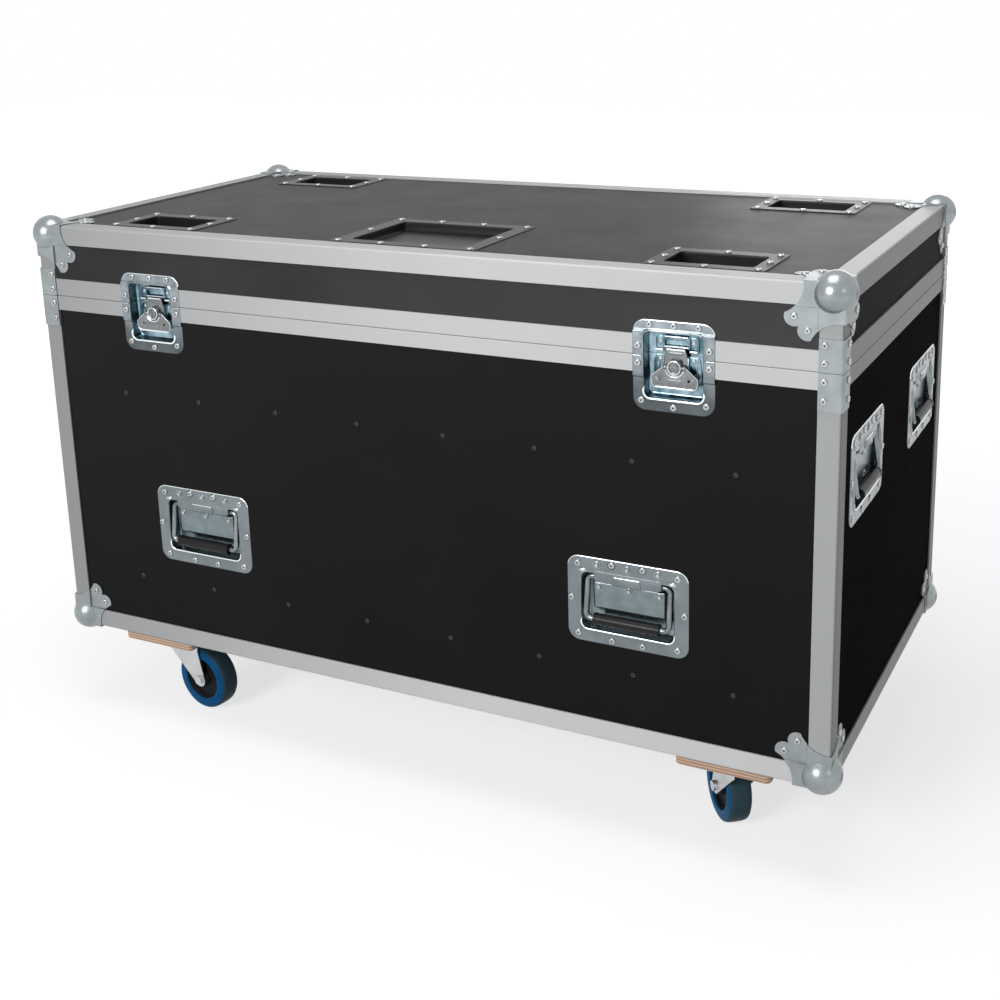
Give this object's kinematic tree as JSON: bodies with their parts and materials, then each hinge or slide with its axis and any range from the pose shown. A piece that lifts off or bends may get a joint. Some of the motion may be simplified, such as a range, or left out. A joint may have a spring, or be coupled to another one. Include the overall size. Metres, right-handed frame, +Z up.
{
  "type": "wheeled road case",
  "caption": "Low rectangular road case on swivel casters, with a hinged lid, butterfly latches, recessed spring handles, ball corners and stacking dishes.",
  "frame": {"origin": "on the floor under the middle of the case", "axes": "+X to the right along the length, front at -Y, +Z up"},
  "size_m": [1.224, 0.624, 0.791],
  "materials": {
    "laminate_black": "plywood panel faced in satin black laminate",
    "aluminium_profile": "satin anodised",
    "zinc_steel": "bright zinc plated",
    "dish_black": "satin black powder coat",
    "rivet_steel": "polished",
    "screw_black": "black oxide",
    "batten_wood": "planed birch",
    "pad_plywood": "birch plywood with bare ply edges",
    "grip_rubber": "matte",
    "hub_plastic": "moulded",
    "tyre_blue": "blue elastic tyre"
  },
  "bodies": {
    "base": {"base_floor_panel": "laminate_black", "base_long_panels": "laminate_black", "base_end_panels": "laminate_black", "base_edge_profiles": "aluminium_profile", "base_seam_rails": "aluminium_profile", "base_ball_corners": "zinc_steel", "base_corner_braces": "zinc_steel", "base_latch_dishes": "zinc_steel", "base_hinge_leaves": "zinc_steel", "inner_battens": "batten_wood", "batten_screws": "screw_black", "caster_pads": "pad_plywood", "caster_plates": "zinc_steel", "handle_dishes": "zinc_steel", "handle_hinge_plates": "zinc_steel", "base_rivets": "rivet_steel"},
    "lid": {"lid_top_panel": "laminate_black", "lid_wall_panels": "laminate_black", "lid_edge_profiles": "aluminium_profile", "lid_seam_rails": "aluminium_profile", "lid_ball_corners": "zinc_steel", "lid_corner_braces": "zinc_steel", "lid_dishes": "dish_black", "lid_latch_dishes": "zinc_steel", "lid_hinge_leaves": "zinc_steel", "lid_rivets": "rivet_steel"},
    "latch_left_link": {"latch_link_left": "zinc_steel"},
    "latch_left_boss": {"latch_boss_left": "zinc_steel"},
    "latch_left_wing": {"latch_wing_left": "zinc_steel"},
    "latch_right_link": {"latch_link_right": "zinc_steel"},
    "latch_right_boss": {"latch_boss_right": "zinc_steel"},
    "latch_right_wing": {"latch_wing_right": "zinc_steel"},
    "handle_front_1": {"handle_bail_front_1": "zinc_steel", "handle_grip_front_1": "grip_rubber"},
    "handle_front_2": {"handle_bail_front_2": "zinc_steel", "handle_grip_front_2": "grip_rubber"},
    "handle_rear_1": {"handle_bail_rear_1": "zinc_steel", "handle_grip_rear_1": "grip_rubber"},
    "handle_rear_2": {"handle_bail_rear_2": "zinc_steel", "handle_grip_rear_2": "grip_rubber"},
    "handle_right_1": {"handle_bail_right_1": "zinc_steel", "handle_grip_right_1": "grip_rubber"},
    "handle_right_2": {"handle_bail_right_2": "zinc_steel", "handle_grip_right_2": "grip_rubber"},
    "handle_left_1": {"handle_bail_left_1": "zinc_steel", "handle_grip_left_1": "grip_rubber"},
    "handle_left_2": {"handle_bail_left_2": "zinc_steel", "handle_grip_left_2": "grip_rubber"},
    "caster_front_left_fork": {"caster_fork_front_left": "zinc_steel"},
    "caster_front_left_wheel": {"caster_hub_front_left": "hub_plastic", "caster_tyre_front_left": "tyre_blue"},
    "caster_front_right_fork": {"caster_fork_front_right": "zinc_steel"},
    "caster_front_right_wheel": {"caster_hub_front_right": "hub_plastic", "caster_tyre_front_right": "tyre_blue"},
    "caster_rear_left_fork": {"caster_fork_rear_left": "zinc_steel"},
    "caster_rear_left_wheel": {"caster_hub_rear_left": "hub_plastic", "caster_tyre_rear_left": "tyre_blue"},
    "caster_rear_right_fork": {"caster_fork_rear_right": "zinc_steel"},
    "caster_rear_right_wheel": {"caster_hub_rear_right": "hub_plastic", "caster_tyre_rear_right": "tyre_blue"}
  },
  "joints": [
    {"name": "lid_hinge", "type": "hinge", "parent": "base", "child": "lid", "pos_m": [0, 0.306, 0.674], "axis": [-1, 0, 0], "range_deg": [0, 100]},
    {"name": "latch_left_turn", "type": "hinge", "parent": "base", "child": "latch_left_boss", "pos_m": [-0.3965, -0.2963, 0.6605], "axis": [0, -1, 0], "range_deg": [0, 180]},
    {"name": "latch_left_fold", "type": "hinge", "parent": "latch_left_boss", "child": "latch_left_wing", "pos_m": [-0.3965, -0.2963, 0.6605], "axis": [-1, 0, 0], "range_deg": [0, 90]},
    {"name": "latch_left_lift", "type": "slide", "parent": "base", "child": "latch_left_link", "axis": [0, 0, 1], "range_m": [0, 0.008]},
    {"name": "latch_right_turn", "type": "hinge", "parent": "base", "child": "latch_right_boss", "pos_m": [0.3965, -0.2963, 0.6605], "axis": [0, -1, 0], "range_deg": [0, 180]},
    {"name": "latch_right_fold", "type": "hinge", "parent": "latch_right_boss", "child": "latch_right_wing", "pos_m": [0.3965, -0.2963, 0.6605], "axis": [-1, 0, 0], "range_deg": [0, 90]},
    {"name": "latch_right_lift", "type": "slide", "parent": "base", "child": "latch_right_link", "axis": [0, 0, 1], "range_m": [0, 0.008]},
    {"name": "handle_front_1_swing", "type": "hinge", "parent": "base", "child": "handle_front_1", "pos_m": [-0.3345, -0.2924, 0.3725], "axis": [-1, 0, 0], "range_deg": [0, 82], "stiffness_Nm_per_rad": 0.25},
    {"name": "handle_front_2_swing", "type": "hinge", "parent": "base", "child": "handle_front_2", "pos_m": [0.3345, -0.2924, 0.3725], "axis": [-1, 0, 0], "range_deg": [0, 82], "stiffness_Nm_per_rad": 0.25},
    {"name": "handle_rear_1_swing", "type": "hinge", "parent": "base", "child": "handle_rear_1", "pos_m": [0.3345, 0.2924, 0.3725], "axis": [1, 0, 0], "range_deg": [0, 82], "stiffness_Nm_per_rad": 0.25},
    {"name": "handle_rear_2_swing", "type": "hinge", "parent": "base", "child": "handle_rear_2", "pos_m": [-0.3345, 0.2924, 0.3725], "axis": [1, 0, 0], "range_deg": [0, 82], "stiffness_Nm_per_rad": 0.25},
    {"name": "handle_right_1_swing", "type": "hinge", "parent": "base", "child": "handle_right_1", "pos_m": [0.5924, -0.16, 0.553], "axis": [0, -1, 0], "range_deg": [0, 82], "stiffness_Nm_per_rad": 0.25},
    {"name": "handle_right_2_swing", "type": "hinge", "parent": "base", "child": "handle_right_2", "pos_m": [0.5924, 0.16, 0.553], "axis": [0, -1, 0], "range_deg": [0, 82], "stiffness_Nm_per_rad": 0.25},
    {"name": "handle_left_1_swing", "type": "hinge", "parent": "base", "child": "handle_left_1", "pos_m": [-0.5924, 0.16, 0.553], "axis": [0, 1, 0], "range_deg": [0, 82], "stiffness_Nm_per_rad": 0.25},
    {"name": "handle_left_2_swing", "type": "hinge", "parent": "base", "child": "handle_left_2", "pos_m": [-0.5924, -0.16, 0.553], "axis": [0, 1, 0], "range_deg": [0, 82], "stiffness_Nm_per_rad": 0.25},
    {"name": "caster_front_left_swivel", "type": "hinge", "parent": "base", "child": "caster_front_left_fork", "pos_m": [-0.4565, -0.211, 0.1125], "axis": [0, 0, 1], "continuous": true},
    {"name": "caster_front_left_roll", "type": "hinge", "parent": "caster_front_left_fork", "child": "caster_front_left_wheel", "pos_m": [-0.41887, -0.21629, 0.05], "axis": [0.1392, 0.9903, 0], "continuous": true},
    {"name": "caster_front_right_swivel", "type": "hinge", "parent": "base", "child": "caster_front_right_fork", "pos_m": [0.4565, -0.211, 0.1125], "axis": [0, 0, 1], "continuous": true},
    {"name": "caster_front_right_roll", "type": "hinge", "parent": "caster_front_right_fork", "child": "caster_front_right_wheel", "pos_m": [0.43259, -0.18147, 0.05], "axis": [-0.7771, -0.6293, 0], "continuous": true},
    {"name": "caster_rear_left_swivel", "type": "hinge", "parent": "base", "child": "caster_rear_left_fork", "pos_m": [-0.4565, 0.211, 0.1125], "axis": [0, 0, 1], "continuous": true},
    {"name": "caster_rear_left_roll", "type": "hinge", "parent": "caster_rear_left_fork", "child": "caster_rear_left_wheel", "pos_m": [-0.42537, 0.2328, 0.05], "axis": [-0.5736, 0.8192, 0], "continuous": true},
    {"name": "caster_rear_right_swivel", "type": "hinge", "parent": "base", "child": "caster_rear_right_fork", "pos_m": [0.4565, 0.211, 0.1125], "axis": [0, 0, 1], "continuous": true},
    {"name": "caster_rear_right_roll", "type": "hinge", "parent": "caster_rear_right_fork", "child": "caster_rear_right_wheel", "pos_m": [0.42079, 0.224, 0.05], "axis": [-0.342, -0.9397, 0], "continuous": true}
  ],
  "couplings": [
    {"joint": "latch_left_lift", "follows": "latch_left_turn", "m_per_rad": 0.002546},
    {"joint": "latch_right_lift", "follows": "latch_right_turn", "m_per_rad": 0.002546}
  ]
}
